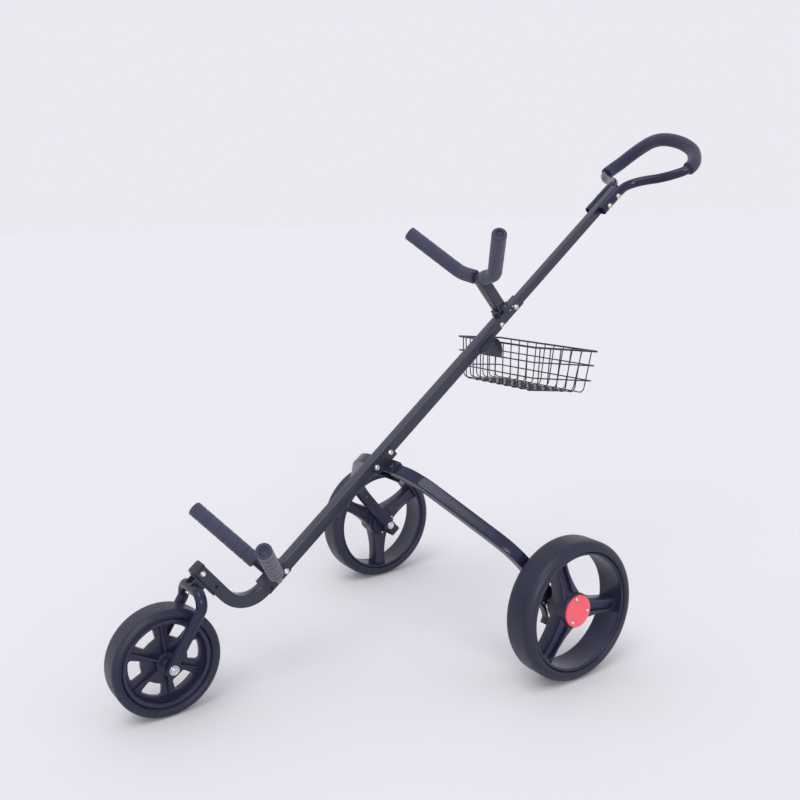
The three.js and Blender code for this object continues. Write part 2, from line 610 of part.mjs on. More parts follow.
function basketLoop(front, rear, y0, y1, radius, z) {
  // A tray outline, narrower in front, with round corners.
  const corners = [[front, y0], [rear, y1], [-rear, y1], [-front, y0]];
  const loop = [];
  corners.forEach(([x, y], i) => {
    const [px, py] = corners[(i + 3) % 4];
    const [nx, ny] = corners[(i + 1) % 4];
    const corner = v3(x, y, z);
    const back = v3(px, py, z).sub(corner).normalize();
    const ahead = v3(nx, ny, z).sub(corner).normalize();
    const turn = Math.PI - back.angleTo(ahead);
    const middle = back.clone().add(ahead).normalize().multiplyScalar(radius / Math.cos(turn / 2)).add(corner);
    const first = corner.clone().addScaledVector(back, radius * Math.tan(turn / 2)).sub(middle);
    const axis = ahead.clone().cross(back).normalize();
    for (let k = 0; k <= 4; k++) {
      loop.push(first.clone().applyAxisAngle(axis, turn * k / 4).add(middle));
    }
  });
  return loop;
}

function makeBasket() {
  const w = BASKET_WALL;
  const outer = [...basketLoop(134, 168.4, 0, 158.8, 14, 0),
    ...basketLoop(129.5, 150, 11.5, 155, 14, -BASKET_DEPTH)];
  const inner = [...basketLoop(134 - w, 168.4 - w, w, 158.8 - w, 11, 1),
    ...basketLoop(129.5 - w, 150 - w, 11.5 + w, 155 - w, 11, -BASKET_DEPTH + w)];
  place(basketFrame, 'basket', cut(new ConvexGeometry(outer), new ConvexGeometry(inner)), wire);
  const hanger = polygon([[-30, -36], [30, -36], [29, -14], [24, -4],
    [12, 5], [-12, 5], [-24, -4], [-29, -14]]);
  const leaf = plate(hanger, 2.5).rotateX(Math.PI / 2).translate(0, -GAP - 0.5, 0);
  place(basketFrame, 'basket_hanger', leaf, blackSteel);
  const side = HALF + GAP;
  const base = -HALF - GAP;
  const outline = polygon([[-side - PLATE, -2], [-side - PLATE, base - PLATE], [side + PLATE, base - PLATE],
    [side + PLATE, -2], [side, -2], [side, base], [-side, base], [-side, -2]]);
  const saddle = plate(outline, 50).rotateX(Math.PI / 2).translate(0, 389, 0);
  place(spine, 'basket_saddle', saddle, blackSteel);
}

// ---------- parking brake on the left arm ----------
const BRAKE_PIN = { y: -22, z: -330 };

function makeBrake() {
  const face = -HALF - GAP;
  const ears = join(
    box(ARM_X - 11, ARM_X + 11, face - 2, face, -345, -315),
    box(ARM_X - 11, ARM_X - 9, face - 16, face, -338, -322),
    box(ARM_X + 9, ARM_X + 11, face - 16, face, -338, -322),
  );
  const hole = rod(2 + GAP, ARM_X - 20, ARM_X + 20, 10).translate(0, BRAKE_PIN.y, BRAKE_PIN.z);
  place(spine, 'brake_bracket', cut(ears, hole), blackSteel);
  const pin = turned([[0, -14], [3.5, -14], [3.5, -11 - GAP], [2, -11 - GAP], [2, 11 + GAP],
    [3.5, 11 + GAP], [3.5, 14], [0, 14]], 10);
  place(spine, 'brake_pin', pin.translate(ARM_X, BRAKE_PIN.y, BRAKE_PIN.z), zinc);
  const outline = polygon([[-18.5, -324], [-26, -324], [-26, -338], [-31, -357], [-35, -367.5], [-47, -374],
    [-46, -378], [-32, -372], [-27, -360], [-18.5, -338]]);
  const lever = facingX(plate(outline, 16).translate(0, 0, ARM_X - 8));
  place(spine, 'brake_lever', cut(lever, hole.clone()), blackSteel);
}

makeMainTube();
makeFrontEnd();
makeFork();
makeFrontWheel();
makeRearWheel('left');
makeRearWheel('right');
makeArmBracket();
makeArm('left');
makeArm('right');
makeLowerCradle();
makeUpperCradle();
makeMast();
makeHandle();
makeBasket();
makeBrake();

export default trolley;
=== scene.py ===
import math

import bmesh
import bpy
from mathutils import Matrix, Vector


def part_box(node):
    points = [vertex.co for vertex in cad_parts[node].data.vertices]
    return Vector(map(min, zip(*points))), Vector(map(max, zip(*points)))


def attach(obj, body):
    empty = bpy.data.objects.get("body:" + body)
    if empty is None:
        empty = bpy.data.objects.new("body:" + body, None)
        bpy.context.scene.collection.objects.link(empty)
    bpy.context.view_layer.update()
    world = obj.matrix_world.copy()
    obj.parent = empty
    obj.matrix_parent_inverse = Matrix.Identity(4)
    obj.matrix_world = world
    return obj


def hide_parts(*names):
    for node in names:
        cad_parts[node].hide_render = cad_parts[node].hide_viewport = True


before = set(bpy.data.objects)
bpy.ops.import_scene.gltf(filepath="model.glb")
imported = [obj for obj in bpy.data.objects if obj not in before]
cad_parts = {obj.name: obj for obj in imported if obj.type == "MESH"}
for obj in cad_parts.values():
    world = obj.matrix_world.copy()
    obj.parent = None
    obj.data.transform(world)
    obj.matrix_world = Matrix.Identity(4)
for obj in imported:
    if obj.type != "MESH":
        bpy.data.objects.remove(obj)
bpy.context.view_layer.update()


# ---------- frames: every shape below is drawn in millimetres in one of these ----------
def middle(node):
    lo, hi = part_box(node)
    return (lo + hi) * 500.0


MM = Matrix.Scale(0.001, 4)
SPINE_TILT = math.radians(38.1)
ARM_DROP = 350.5  # from the spine to the rear axles, square to the spine
BASKET_TILT = math.radians(-7.75)
BASKET_BACK, BASKET_UP = 107.7, 640.9  # its rim's front edge, behind the axles and above ground
AXLES = {side: middle("rear_tyre_" + side) for side in ("left", "right")}
FRONT_AXLE = middle("front_tyre")
AXLE_Y, AXLE_Z = AXLES["left"].y, AXLES["left"].z
HALF_TURN = Matrix.Rotation(math.pi, 4, "Z")

SPINE = (MM @ Matrix.Translation((0, AXLE_Y - ARM_DROP * math.sin(SPINE_TILT),
                                  AXLE_Z + ARM_DROP * math.cos(SPINE_TILT)))
         @ Matrix.Rotation(SPINE_TILT, 4, "X"))
SIDE_SPINE = {"left": SPINE, "right": SPINE @ HALF_TURN}
WHEEL = {"left": MM @ Matrix.Translation(AXLES["left"]),
         "right": MM @ Matrix.Translation(AXLES["right"]) @ HALF_TURN}
FRONT = MM @ Matrix.Translation(FRONT_AXLE)
BASKET = (MM @ Matrix.Translation((0, AXLE_Y + BASKET_BACK, BASKET_UP))
          @ Matrix.Rotation(BASKET_TILT, 4, "X"))

# ---------- the trolley's own dimensions ----------
TUBE = 25.4  # square tube of the spine and the arms
HALF = TUBE / 2
WALL = 1.5
CORNER = 2.6
PLATE = 2.8  # brackets bolted to the spine
GAP = 0.3  # play between pieces that are bolted together
BOLT_R = 3.0

SPINE_TOP = 500  # along the spine, from the arms' hinges
SPINE_FULL = 417  # above this the spine is a channel, open below
CHANNEL_LIP = 3
FRONT_Y = -425.3
FRONT_TOP = 141
FRONT_BEND = 60
BORE_DEPTH = 12
CAP_TOP = 149.5
CROWN = (-457.2, 122.9)

ARM_PIN_X = 28
ARM_Z = -35
ARM_X = 302.7
ARM_END = -375
HINGE_CHEEK = 3.1
WHEEL_X = 357
HUB_FACE = 21.7  # outwards from the wheel's middle
NUT_SINK = 8

CRADLE_R = 9.5
FOAM_R = 16
GROOVE_HALF = 2.6
PLUG_ROOM = 6  # the cradle bars stop this far short of their sleeves' ends

MAST_HALF = 10
MAST_LOW = 412
MAST_TOP = 900
HANDLE_R = 11
HANDLE_Z = 1.5
FORK_R = 11
FORK_X = 45

SIDES = ("left", "right")
SIGN = {"left": 1, "right": -1}


# ---------- materials ----------
def node_material(name, color, rough, metal=0.0):
    mat = bpy.data.materials.new(name)
    mat.use_nodes = True
    shader = mat.node_tree.nodes["Principled BSDF"]
    shader.inputs["Base Color"].default_value = (*color, 1)
    shader.inputs["Roughness"].default_value = rough
    shader.inputs["Metallic"].default_value = metal
    return mat, mat.node_tree.nodes, mat.node_tree.links, shader


def noise(nodes, links, scale, detail=4.0, rough=0.55):
    coords = nodes.new("ShaderNodeTexCoord")
    tex = nodes.new("ShaderNodeTexNoise")
    tex.inputs["Scale"].default_value = scale
    tex.inputs["Detail"].default_value = detail
    tex.inputs["Roughness"].default_value = rough
    links.new(coords.outputs["Object"], tex.inputs["Vector"])
    return tex.outputs["Fac"]


def ramp(nodes, links, source, low, high):
    node = nodes.new("ShaderNodeMapRange")
    node.inputs["From Min"].default_value = 0.3
    node.inputs["From Max"].default_value = 0.7
    node.inputs["To Min"].default_value = low
    node.inputs["To Max"].default_value = high
    links.new(source, node.inputs["Value"])
    return node.outputs["Result"]


def tint(nodes, links, source, dark, light):
    node = nodes.new("ShaderNodeMix")
    node.data_type = "RGBA"
    node.inputs["A"].default_value = (*dark, 1)
    node.inputs["B"].default_value = (*light, 1)
    links.new(source, node.inputs["Factor"])
    return node.outputs["Result"]


def bump(nodes, links, shader, height, strength, distance, radius=0.0):
    node = nodes.new("ShaderNodeBump")
    node.inputs["Strength"].default_value = strength
    node.inputs["Distance"].default_value = distance
    links.new(height, node.inputs["Height"])
    if radius:
        soft = nodes.new("ShaderNodeBevel")
        soft.inputs["Radius"].default_value = radius
        links.new(soft.outputs["Normal"], node.inputs["Normal"])
    links.new(node.outputs["Normal"], shader.inputs["Normal"])


def edge_mask(nodes, links, radius):
    """1 on the outer edges, where the rounded normal leaves the flat one."""
    soft = nodes.new("ShaderNodeBevel")
    soft.inputs["Radius"].default_value = radius
    flat = nodes.new("ShaderNodeNewGeometry")
    dot = nodes.new("ShaderNodeVectorMath")
    dot.operation = "DOT_PRODUCT"
    links.new(soft.outputs["Normal"], dot.inputs[0])
    links.new(flat.outputs["Normal"], dot.inputs[1])
    node = nodes.new("ShaderNodeMapRange")
    node.inputs["From Min"].default_value = 0.985
    node.inputs["From Max"].default_value = 0.86
    links.new(dot.outputs["Value"], node.inputs["Value"])
    return node.outputs["Result"]


def painted(name, color, rough, coat, edge_wear_and_highlight=None, specular=0.5):
    """Powder coat: orange peel and uneven gloss; sheared plates also have paler edges, partly
    rubbed wear and partly a painted edge highlight.
    """
    mat, nodes, links, shader = node_material(name, color, rough)
    cloud = noise(nodes, links, 38)
    links.new(ramp(nodes, links, cloud, rough - 0.05, rough + 0.07), shader.inputs["Roughness"])
    base = tint(nodes, links, cloud, color, [c * 1.5 for c in color])
    # paler colour along sharp plate edges: rubbed wear and a painted edge highlight
    if edge_wear_and_highlight:
        mix = nodes.new("ShaderNodeMix")
        mix.data_type = "RGBA"
        mix.inputs["B"].default_value = (*edge_wear_and_highlight, 1)
        links.new(base, mix.inputs["A"])
        links.new(edge_mask(nodes, links, 0.0006), mix.inputs["Factor"])
        base = mix.outputs["Result"]
    links.new(base, shader.inputs["Base Color"])
    shader.inputs["Specular IOR Level"].default_value = specular
    shader.inputs["Coat Weight"].default_value = coat
    shader.inputs["Coat Roughness"].default_value = 0.06
    peel = noise(nodes, links, 420, 2)
    bump(nodes, links, shader, peel, 0.06, 0.0002, 0.0006 if edge_wear_and_highlight else 0.0)
    return mat


def moulded(name, color, light, rough, grain=1400, depth=0.00012, coat=0.0):
    """Moulded plastic or rubber: fine grain, with cloudy tone and gloss."""
    mat, nodes, links, shader = node_material(name, color, rough)
    cloud = noise(nodes, links, 26, 6)
    links.new(tint(nodes, links, cloud, color, light), shader.inputs["Base Color"])
    links.new(ramp(nodes, links, cloud, rough - 0.06, rough + 0.08), shader.inputs["Roughness"])
    shader.inputs["Coat Weight"].default_value = coat
    shader.inputs["Specular IOR Level"].default_value = 0.38
    bump(nodes, links, shader, noise(nodes, links, grain, 4, 0.7), 0.2, depth)
    return mat


def foamed(name, color, light):
    """Closed-cell foam: open pores over a soft mottle, with a faint sheen."""
    mat, nodes, links, shader = node_material(name, color, 0.93)
    cloud = noise(nodes, links, 90, 6, 0.7)
    coords = nodes.new("ShaderNodeTexCoord")
    cells = nodes.new("ShaderNodeTexVoronoi")
    cells.inputs["Scale"].default_value = 1150
    links.new(coords.outputs["Object"], cells.inputs["Vector"])
    both = nodes.new("ShaderNodeMath")
    both.operation = "MULTIPLY"
    links.new(cloud, both.inputs[0])
    links.new(cells.outputs["Distance"], both.inputs[1])
    links.new(tint(nodes, links, cloud, color, light), shader.inputs["Base Color"])
    shader.inputs["Sheen Weight"].default_value = 0.25
    shader.inputs["Sheen Roughness"].default_value = 0.5
    shader.inputs["Specular IOR Level"].default_value = 0.25
    bump(nodes, links, shader, both.outputs["Value"], 0.6, 0.0004)
    return mat


def plated(name, color, rough):
    """Bright zinc: fine brushed grain and uneven polish."""
    mat, nodes, links, shader = node_material(name, color, rough, 1.0)
    cloud = noise(nodes, links, 210, 5)
    links.new(ramp(nodes, links, cloud, rough - 0.08, rough + 0.12), shader.inputs["Roughness"])
    base = tint(nodes, links, cloud, [c * 0.72 for c in color], color)
    links.new(base, shader.inputs["Base Color"])
    bump(nodes, links, shader, noise(nodes, links, 2600, 2), 0.12, 0.0001, 0.0004)
    return mat


PAINT = painted("frame_paint", (0.0150, 0.0165, 0.0340), 0.30, 0.2, specular=0.45)
GLOSS = painted("tube_gloss", (0.0120, 0.0128, 0.0330), 0.14, 0.0, specular=0.30)
# its paler edges are partly a painted edge highlight
STEEL = painted("bracket_satin", (0.0105, 0.0115, 0.0250), 0.36, 0.15,
                edge_wear_and_highlight=(0.050, 0.052, 0.080))
WIRE = painted("wire_coat", (0.0070, 0.0075, 0.0160), 0.30, 0.2, specular=0.4)
FOAM = foamed("foam_grey", (0.030, 0.032, 0.060), (0.062, 0.065, 0.112))
GRIP = foamed("grip_foam", (0.019, 0.019, 0.044), (0.038, 0.038, 0.082))
TYRE = moulded("tyre_rubber", (0.0095, 0.0108, 0.0270), (0.0185, 0.0205, 0.0440), 0.42,
               grain=900, depth=0.0002)
RIM = moulded("wheel_plastic", (0.0150, 0.0160, 0.0400), (0.0230, 0.0245, 0.0580), 0.34,
              coat=0.08)
TRIM = moulded("trim_plastic", (0.0100, 0.0106, 0.0230), (0.0190, 0.0200, 0.0420), 0.42)
# near black, for the discs that stand for the painted shade inside the frame's holes
SHADE = moulded("bore_painted_shade", (0.0012, 0.0013, 0.0022), (0.0018, 0.0020, 0.0032), 0.85)
RED = moulded("cap_red", (0.74, 0.075, 0.105), (0.86, 0.115, 0.15), 0.34,
              grain=1600, depth=0.00008, coat=0.3)
ZINC = plated("zinc", (0.80, 0.81, 0.83), 0.24)
DULL = plated("zinc_blackened", (0.16, 0.165, 0.19), 0.34)
BRASSY = plated("zinc_yellow", (0.82, 0.80, 0.68), 0.26)


# ---------- mesh helpers ----------
class Shell:
    """Vertices and faces of one piece, gathered in a drawing frame."""

    def __init__(self):
        self.verts = []
        self.faces = []

    def add(self, verts, faces):
        start = len(self.verts)
        self.verts += [Vector(v) for v in verts]
        self.faces += [tuple(i + start for i in f) for f in faces]
        return self

    def loft(self, rings, closed=False):
        """Joins equal rings of points, and caps both ends unless they close on each other."""
        n, count = len(rings[0]), len(rings)
        faces = []
        for i in range(count if closed else count - 1):
            a, b = i * n, (i + 1) % count * n
            faces += [(a + k, a + (k + 1) % n, b + (k + 1) % n, b + k) for k in range(n)]
        if not closed:
            faces += [tuple(range(n))[::-1], tuple(range((count - 1) * n, count * n))]
        return self.add([p for ring in rings for p in ring], faces)

    def turn(self, profile, segments=48, closed=False, at=(0, 0, 0), axis="X", angle=0.0):
        """A solid of revolution; rows are (radius, place on the axis), some with their shape."""
        rings = []
        for row in profile:
            radius, x, kind = row if len(row) == 3 else (*row, "round")
            ring = []
            for k in range(segments):
                t = 2 * math.pi * k / segments
                r = radius * shape_factor(kind, t, k)
                y, z = r * math.cos(t + angle), r * math.sin(t + angle)
                local = {"X": (x, y, z), "Y": (z, x, y), "Z": (y, z, x)}[axis]
                ring.append(Vector(local) + Vector(at))
            rings.append(ring)
        return self.loft(rings, closed)


def shape_factor(kind, t, k):
    if kind == "hex":
        sixth = math.pi / 3
        return 1 / math.cos((t % sixth) - sixth / 2)
    if kind == "teeth":
        return 1.0 if k % 4 < 2 else 0.92
    return 1.0


def piece(name, shell, place, mat, body, replaces=(), sharp=38.0):
    mesh = bpy.data.meshes.new(name)
    mesh.from_pydata([place @ v for v in shell.verts], [], shell.faces)
    bm = bmesh.new()
    bm.from_mesh(mesh)
    bmesh.ops.remove_doubles(bm, verts=bm.verts, dist=2e-6)
    bmesh.ops.dissolve_degenerate(bm, edges=bm.edges, dist=1e-6)
    bmesh.ops.recalc_face_normals(bm, faces=bm.faces)
    bm.to_mesh(mesh)
    bm.free()
    mesh.shade_smooth()
    mesh.set_sharp_from_angle(angle=math.radians(sharp))
    mesh.materials.append(mat)
    obj = bpy.data.objects.new(name, mesh)
    bpy.context.scene.collection.objects.link(obj)
    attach(obj, body)
    if replaces:
        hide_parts(*replaces)
    return obj


def bent(points, radii, step=5.0):
    """Straight runs between points, with a round bend of the given radius at each inner point."""
    pts = [Vector(p) for p in points]
    path = [pts[0]]
    for i, radius in enumerate(radii, 1):
        back = (pts[i - 1] - pts[i]).normalized()
        ahead = (pts[i + 1] - pts[i]).normalized()
        turn = math.pi - back.angle(ahead)
        centre = pts[i] + (back + ahead).normalized() * (radius / math.cos(turn / 2))
        first = pts[i] + back * (radius * math.tan(turn / 2)) - centre
        axis = ahead.cross(back).normalized()
        count = max(2, math.ceil(math.degrees(turn) / step))
        for k in range(count + 1):
            path.append(Matrix.Rotation(turn * k / count, 3, axis) @ first + centre)
    return path + [pts[-1]]


class Path:
    """A polyline with a steady frame along it, found by its length."""

    def __init__(self, points, side=None):
        self.points = [Vector(p) for p in points]
        self.places = [0.0]
        for a, b in zip(self.points, self.points[1:]):
            self.places.append(self.places[-1] + (b - a).length)
        self.length = self.places[-1]
        self.normals = []
        self.tangents = []
        normal = None
        for i, p in enumerate(self.points):
            back = (p - self.points[i - 1]).normalized() if i else None
            last = i == len(self.points) - 1
            ahead = None if last else (self.points[i + 1] - p).normalized()
            tangent = ((back or ahead) + (ahead or back)).normalized()
            if side is not None:
                normal = Vector(side)
            elif normal is None:
                normal = tangent.orthogonal().normalized()
            normal = (normal - tangent * normal.dot(tangent)).normalized()
            self.normals.append(normal)
            self.tangents.append(tangent)

    def at(self, place):
        i = 0
        while i < len(self.places) - 2 and self.places[i + 1] < place:
            i += 1
        t = (place - self.places[i]) / (self.places[i + 1] - self.places[i])
        t = min(max(t, 0.0), 1.0)
        tangent = self.tangents[i].lerp(self.tangents[i + 1], t).normalized()
        normal = self.normals[i].lerp(self.normals[i + 1], t)
        normal = (normal - tangent * normal.dot(tangent)).normalized()
        return self.points[i].lerp(self.points[i + 1], t), normal, tangent.cross(normal)

    def ring(self, place, section):
        p, n, b = self.at(place)
        return [p + n * u + b * v for u, v in section]

    def along(self, step):
        """Places for rings: each of its own points, and no gap longer than step."""
        places = []
        for a, b in zip(self.places, self.places[1:]):
            count = max(1, math.ceil((b - a) / step))
            places += [a + (b - a) * k / count for k in range(count)]
        return places + [self.length]


def circle(radius, sides=32):
    turns = [2 * math.pi * k / sides for k in range(sides)]
    return [(radius * math.cos(t), radius * math.sin(t)) for t in turns]


def square(size, corner, steps=5):
    """A square with round corners, as a closed loop."""
    loop = []
    w = size / 2 - corner
    for quarter, (x, y) in enumerate([(w, w), (-w, w), (-w, -w), (w, -w)]):
        for k in range(steps + 1):
            t = math.pi / 2 * (quarter + k / steps)
            loop.append((x + corner * math.cos(t), y + corner * math.sin(t)))
    return loop


def stack(rows, at, corner, steps=6):
    """Squares of (size, height) one above another."""
    x0, y0, z0 = at
    return Shell().loft([[Vector((x0 + x, y0 + y, z0 + h)) for x, y in square(size, corner, steps)]
                         for size, h in rows])


def hollow(path, outer, inner, depth):
    """A tube whose wall shows at its ends, with its bore closed that deep inside."""
    rings = [path.ring(s, outer) for s in path.along(40.0)]
    start = [path.ring(depth, inner), path.ring(0, inner)]
    end = [path.ring(path.length, inner), path.ring(path.length - depth, inner)]
    return Shell().loft(start + rings + end)


def slab(loops, thickness, bevel, place):
    """A flat plate from outlines (the first is its edge, the rest are holes), with rounded rims."""
    curve = bpy.data.curves.new("outline", "CURVE")
    curve.dimensions = "2D"
    curve.fill_mode = "BOTH"
    curve.extrude = thickness / 2 - bevel
    curve.bevel_depth = bevel
    curve.bevel_resolution = 2
    curve.offset = -bevel
    for loop in loops:
        spline = curve.splines.new("POLY")
        spline.points.add(len(loop) - 1)
        for point, (x, y) in zip(spline.points, loop):
            point.co = (x, y, 0, 1)
        spline.use_cyclic_u = True
    obj = bpy.data.objects.new("outline", curve)
    bpy.context.scene.collection.objects.link(obj)
    bpy.context.view_layer.update()
    solid = obj.evaluated_get(bpy.context.evaluated_depsgraph_get())
    mesh = bpy.data.meshes.new_from_object(solid)
    verts = [place @ v.co for v in mesh.vertices]
    faces = [tuple(p.vertices) for p in mesh.polygons]
    bpy.data.objects.remove(obj)
    bpy.data.curves.remove(curve)
    bpy.data.meshes.remove(mesh)
    return verts, faces


def polar(radius, degrees):
    return radius * math.cos(math.radians(degrees)), radius * math.sin(math.radians(degrees))


FACING_X = Matrix(((0, 0, 1, 0), (1, 0, 0, 0), (0, 1, 0, 0), (0, 0, 0, 1)))


# ---------- camera ----------
CAMERA_AT = (1.6487, -1.20035, 0.9357)
CAMERA_TURN = (55.83, 11.28, -1.41)  # azimuth, elevation and roll, in degrees
CAMERA_LENS = 42.57


def make_camera():
    azimuth, elevation, roll = (math.radians(d) for d in CAMERA_TURN)
    right = Vector((math.cos(azimuth), math.sin(azimuth), 0))
    back = Vector((math.sin(azimuth) * math.cos(elevation),
                   -math.cos(azimuth) * math.cos(elevation), math.sin(elevation)))
    up = back.cross(right)
    x_axis = right * math.cos(roll) + up * math.sin(roll)
    y_axis = up * math.cos(roll) - right * math.sin(roll)
    cam = bpy.data.objects.new("camera", bpy.data.cameras.new("camera"))
    bpy.context.scene.collection.objects.link(cam)
    turn = Matrix((x_axis, y_axis, back)).transposed().to_4x4()
    cam.matrix_world = Matrix.Translation(CAMERA_AT) @ turn
    cam.data.sensor_width = 36
    cam.data.lens = CAMERA_LENS
    bpy.context.scene.camera = cam


# ---------- fasteners ----------
def bolt(name, node, at, grip, body, head=6.0, tall=3.5, nut=ZINC):
    """A through bolt across the trolley, gripping that far to each side of at.

    A washer and a socket head on one side, a washer and a domed hex nut on the other."""
    g = grip + GAP
    rows = [(0, g + tall * 0.35), (head * 0.42, g + tall * 0.35, "hex"),
            (head * 0.45, g + tall * 0.98, "hex"), (head * 0.62, g + tall),
            (head * 0.84, g + tall * 0.78), (head * 0.9, g + tall * 0.5), (head * 0.9, g + 0.9),
            (head, g + 0.8), (head, g), (BOLT_R, g),
            (BOLT_R, -g), (head, -g), (head, -g - 0.8), (head * 0.8, -g - 0.9),
            (head * 0.8, -g - 1.0, "hex"), (head * 0.8, -g - tall * 0.85, "hex"),
            (head * 0.72, -g - tall), (BOLT_R, -g - tall), (BOLT_R, -g - tall - 1.2),
            (BOLT_R * 0.7, -g - tall - 1.8), (0, -g - tall - 1.8)]
    shell = Shell().turn(rows, 36, at=at)
    piece(name, shell, SPINE, nut, body, [node], 30)


def rivet(shell, at, r, tall, axis="X", sign=1):
    rows = [(0, sign * tall), (r * 0.55, sign * tall * 0.9), (r * 0.9, sign * tall * 0.5),
            (r, 0), (r, -sign * 0.6), (0, -sign * 0.6)]
    shell.turn(rows, 24, at=at, axis=axis)


# ---------- spine ----------
def open_channel(low):
    """The section of the spine's top end: open below, its sides ending at the height low."""
    inner = HALF - WALL
    arch = [(x, z) for x, z in square(TUBE, CORNER) if z > 0]
    arch.sort(key=lambda p: math.atan2(p[0], p[1] + 2))
    inside = [(inner, low), (inner, inner - 1), (inner - 1, inner),
              (-inner + 1, inner), (-inner, inner - 1), (-inner, low)]
    return [(-HALF, low), *arch, (HALF, low), *inside]


def make_spine():
    line = [(0, SPINE_FULL, 0), (0, FRONT_Y, 0), (0, FRONT_Y, FRONT_TOP)]
    path = Path(bent(line, [FRONT_BEND], 3), side=(1, 0, 0))
    shell = hollow(path, square(TUBE, CORNER), square(TUBE - 2 * WALL, 1.2), BORE_DEPTH)
    section = open_channel(-HALF + CHANNEL_LIP)
    shell.loft([[Vector((x, y, z)) for x, z in section]
                for y in (SPINE_FULL, 440, 470, SPINE_TOP)])
    piece("spine_tube", shell, SPINE, PAINT, "frame", ["main_tube"])

    rise = CAP_TOP - FRONT_TOP
    rows = [(27.5, 0.3), (27.8, 1.0), (27.8, rise - 2.2), (27.0, rise - 0.9),
            (25.2, rise - 0.2), (22.0, rise)]
    cap = stack(rows, (0, FRONT_Y, FRONT_TOP), 3.6)
    piece("end_cap", cap, SPINE, TRIM, "frame", ["front_end_cap"])
    bolt("tube_bolt", "front_bolt", (0, FRONT_Y, 133), HALF, "frame", head=5.5)
    back = FRONT_Y - HALF - 3.3 - CROWN[0]
    rows = [(0, -12.6), (2.2, -12.6, "hex"), (2.3, -14.2, "hex"), (3.4, -14.8), (4.6, -14.0),
            (5, -12.6), (5, -11.3), (3, -11.3), (3, back - 0.4), (0, back - 0.3)]
    screw = Shell().turn(rows, 36, at=(0, *CROWN), axis="Y")
    piece("crown_screw", screw, SPINE, ZINC, "frame", ["fork_screw"], 30)

    rivets, rims, shade_discs = Shell(), Shell(), Shell()
    for sign in (1, -1):
        rivet(rivets, (sign * HALF, 471, 7), 1.9, 0.9, sign=sign)
        rivet(rivets, (sign * HALF, 460, 5), 1.7, 0.8, sign=sign)
        for x, y, z in ((HALF, FRONT_Y, 91), (HALF + PLATE, -353, -4)):
            rows = [(3.0, -2.0), (3.0, 0.1), (3.5, 0.35), (4.1, 0.1), (4.1, -2.0)]
            rims.turn([(r, sign * (x + h)) for r, h in rows], 24, closed=True, at=(0, y, z))
            # a near-black disc just proud of the surface in each hole: painted shade of the bore
            rows = [(0, 0.12), (3.1, 0.12), (3.1, -2.0), (0, -2.0)]
            shade_discs.turn([(r, sign * (x + h)) for r, h in rows], 24, at=(0, y, z))
    piece("frame_rivets", rivets, SPINE, ZINC, "frame")
    piece("frame_hole_rims", rims, SPINE, TRIM, "frame")
    piece("frame_hole_painted_shade", shade_discs, SPINE, SHADE, "frame")

    for where, y in (("upper", 22), ("lower", -22)):
        bolt("bracket_" + where, "arm_bracket_bolt_" + where, (0, y, -3.5), HALF + PLATE, "frame")
    bolt("cradle_bolt", "lower_cradle_bolt", (0, -309, -4), HALF + PLATE, "frame")
    bolt("stem_hinge_pin", "stem_pin", (0, 452, 24), HALF + PLATE, "frame",
         head=4.6, tall=2.6, nut=DULL)
    bolt("mast_pivot", "pivot_bolt", (0, 421, -4), HALF, "frame")
    bolt("mast_clamp", "clamp_bolt", (0, 477, -0.6), HALF, "frame", head=6.5, tall=4)


# ---------- rear arms ----------
def make_arms():
    points = [(ARM_PIN_X, 0, ARM_Z), (108, 0, ARM_Z), (ARM_X, 0, -200.1), (ARM_X, 0, ARM_END)]
    path = Path(bent(points, [125, 105], 3), side=(0, 1, 0))
    section = square(TUBE, CORNER)
    rings = []
    for degrees in (8, 20, 35, 50, 65, 80):  # the rounded end about the hinge pin
        squeeze = math.sin(math.radians(degrees))
        reach = HALF * math.cos(math.radians(degrees))
        rings.append([Vector((ARM_PIN_X - reach, u * squeeze, ARM_Z + v)) for u, v in section])
    rings += [path.ring(s, section) for s in path.along(30)]
    top, bottom = ARM_Z + HALF + HINGE_CHEEK, ARM_Z - HALF - HINGE_CHEEK
    hinge = [(0, top + 2.6), (4.2, top + 2.5), (6.3, top + 1.4), (7, top + 0.3), (7, top),
             (4, top), (4, bottom), (7, bottom), (7, bottom - 1), (5.5, bottom - 2.8),
             (0, bottom - 3)]
    inner, outer = ARM_X - HALF - GAP, WHEEL_X + HUB_FACE - NUT_SINK + GAP
    stub = [(0, inner - 4), (4.4, inner - 4, "hex"), (4.4, inner - 5, "hex"), (6.2, inner - 5),
            (7.6, inner - 3.8), (8, inner - 2), (8, inner - 1), (9.4, inner - 1), (9.4, inner),
            (5, inner), (5, outer), (8.7, outer, "hex"), (8.7, outer + 4.6, "hex"),
            (7, outer + 5), (0, outer + 5)]
    for side in SIDES:
        place, body = SIDE_SPINE[side], side + "_arm"
        piece("tube_arm_" + side, Shell().loft(rings), place, GLOSS, body,
              ["arm_" + side])
        cap = stack([(26.2, 6), (27.2, 5.6), (27.2, -1.2), (26.4, -2.4), (23, -3)],
                    (ARM_X, 0, ARM_END), 3.4)
        piece("arm_end_cap_" + side, cap, place, TRIM, body)
        pin = Shell().turn(hinge, 32, at=(ARM_PIN_X, 0, 0), axis="Z")
        piece("hinge_pin_" + side, pin, place, STEEL, "frame",
              ["arm_pin_" + side])
        axle = Shell().turn(stub, 36, at=(0, 0, -ARM_DROP))
        piece("axle_bolt_" + side, axle, place, ZINC, body, ["axle_" + side], 30)
        rivets = Shell()
        rivet(rivets, (ARM_X - HALF, 0, -237), 3.4, 1.3, sign=-1)
        rivet(rivets, (ARM_X, HALF, ARM_END + 9), 2.2, 0.9, axis="Y")
        piece("arm_rivets_" + side, rivets, place, DULL, body)


